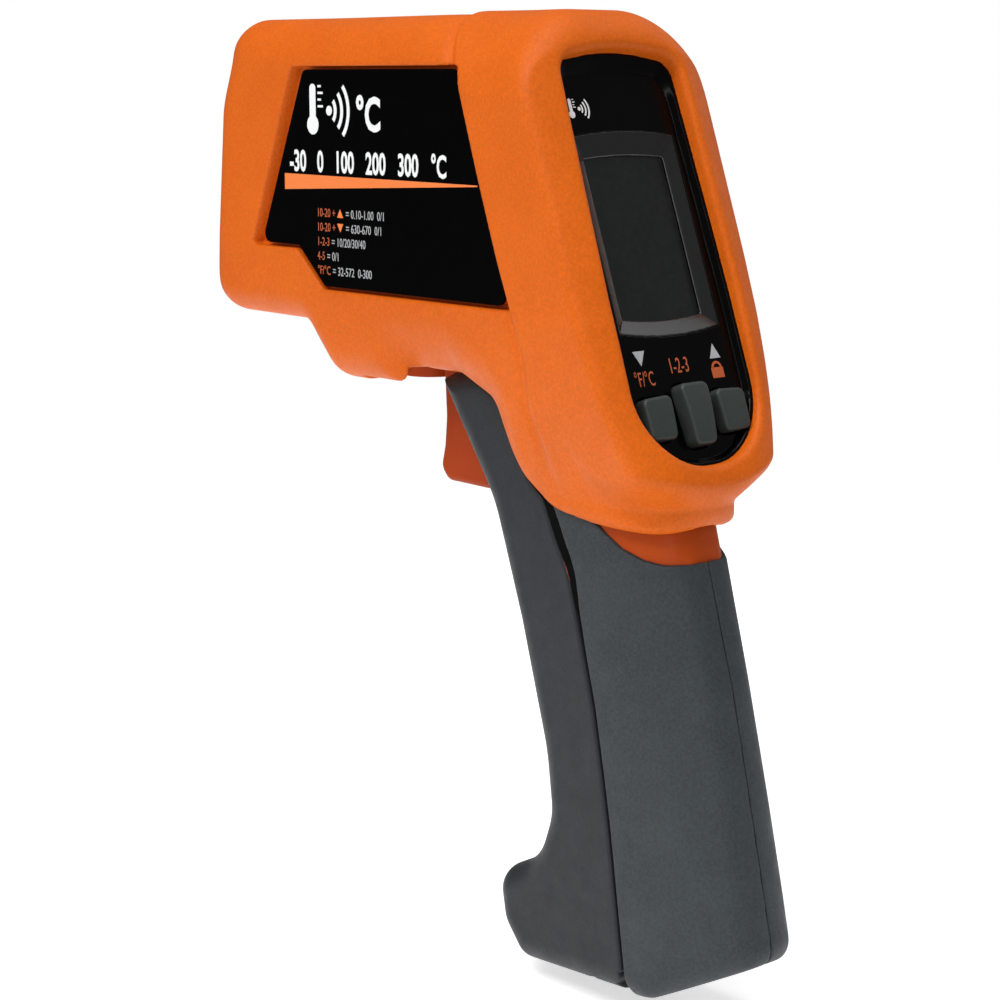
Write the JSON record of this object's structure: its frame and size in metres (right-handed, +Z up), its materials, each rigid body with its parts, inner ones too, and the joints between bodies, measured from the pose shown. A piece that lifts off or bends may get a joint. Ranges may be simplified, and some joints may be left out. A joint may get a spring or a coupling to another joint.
{
  "type": "infrared thermometer",
  "caption": "Pistol-grip infrared thermometer: rubber-booted barrel, tilted display with keys, finger trigger and hinged battery door in the grip.",
  "frame": {"origin": "centre of the tripod socket's mouth under the barrel", "axes": "+Z up, +Y back from the lens towards the display and the user, +X to the user's left"},
  "size_m": [0.052, 0.1619, 0.209],
  "materials": {
    "boot_rubber": "soft satin elastomer",
    "housing_orange": "fine spark texture",
    "label_black": "gloss printed film",
    "bezel_black": "gloss",
    "clear_window": "polished",
    "lcd_glass": "satin polariser",
    "light_guide": "white",
    "zebra_rubber": "matte",
    "circuit_board": "solder mask",
    "screw_steel": "zinc plated",
    "chip_black": "matte epoxy",
    "key_rubber": "matte silicone",
    "switch_steel": "satin",
    "nose_black": "fine texture",
    "ir_lens": "milky Fresnel plastic",
    "seal_rubber": "matte",
    "tube_black": "matte",
    "can_steel": "nickel plated",
    "ribbon": "matte",
    "laser_brass": "turned",
    "laser_window": "polished",
    "trigger_orange": "fine texture",
    "pin_steel": "ground",
    "spring_steel": "bright",
    "grip_rubber": "soft touch, fine grain",
    "door_grey": "soft touch, fine grain",
    "foam": "open foam",
    "battery_can": "plain wrapped can",
    "snap_black": "matte",
    "lead_red": "satin",
    "lead_black": "satin",
    "insert_brass": "turned"
  },
  "bodies": {
    "case": {"boot": "boot_rubber", "housing_left": "housing_orange", "housing_right": "housing_orange", "label_left": "label_black", "label_right": "label_black", "display_bezel": "bezel_black", "display_window": "clear_window", "lcd_glass": "lcd_glass", "lcd_backlight": "light_guide", "lcd_strips": "zebra_rubber", "main_board": "circuit_board", "board_screws": "screw_steel", "board_chips": "chip_black", "buzzer": "chip_black", "key_mat": "key_rubber", "dome_switches": "switch_steel", "nose_bezel": "nose_black", "ir_lens": "ir_lens", "lens_seal": "seal_rubber", "optic_tube": "tube_black", "thermopile": "can_steel", "sensor_board": "circuit_board", "ribbon_cable": "ribbon", "laser_module": "laser_brass", "laser_bracket": "tube_black", "laser_window": "laser_window", "trigger_pin": "pin_steel", "trigger_spring": "spring_steel", "trigger_switch": "chip_black", "grip_skin_left": "grip_rubber", "grip_skin_right": "grip_rubber", "door_pin": "pin_steel", "battery": "battery_can", "battery_snap": "snap_black", "lead_red": "lead_red", "lead_black": "lead_black", "case_screws": "screw_steel", "tripod_insert": "insert_brass"},
    "trigger": {"trigger": "trigger_orange"},
    "battery_door": {"battery_door": "door_grey", "door_pad": "foam"},
    "key_down": {"key_down": "key_rubber"},
    "key_mode": {"key_mode": "key_rubber"},
    "key_up": {"key_up": "key_rubber"}
  },
  "joints": [
    {"name": "trigger_pull", "type": "hinge", "parent": "case", "child": "trigger", "pos_m": [0, 0.023, 0.01], "axis": [1, 0, 0], "range_deg": [0, 7], "stiffness_Nm_per_rad": 0.8, "springref_deg": -3.44, "deforming": ["trigger_spring"]},
    {"name": "key_down_press", "type": "slide", "parent": "case", "child": "key_down", "axis": [0, -0.9367, -0.3502], "range_m": [0, 0.001], "stiffness_N_per_m": 1500, "springref_m": -0.0006},
    {"name": "key_mode_press", "type": "slide", "parent": "case", "child": "key_mode", "axis": [0, -0.9367, -0.3502], "range_m": [0, 0.001], "stiffness_N_per_m": 1500, "springref_m": -0.0006},
    {"name": "key_up_press", "type": "slide", "parent": "case", "child": "key_up", "axis": [0, -0.9367, -0.3502], "range_m": [0, 0.001], "stiffness_N_per_m": 1500, "springref_m": -0.0006},
    {"name": "battery_door_hinge", "type": "hinge", "parent": "case", "child": "battery_door", "pos_m": [0, 0.07674, -0.11752], "axis": [1, 0, 0], "range_deg": [0, 65]}
  ]
}
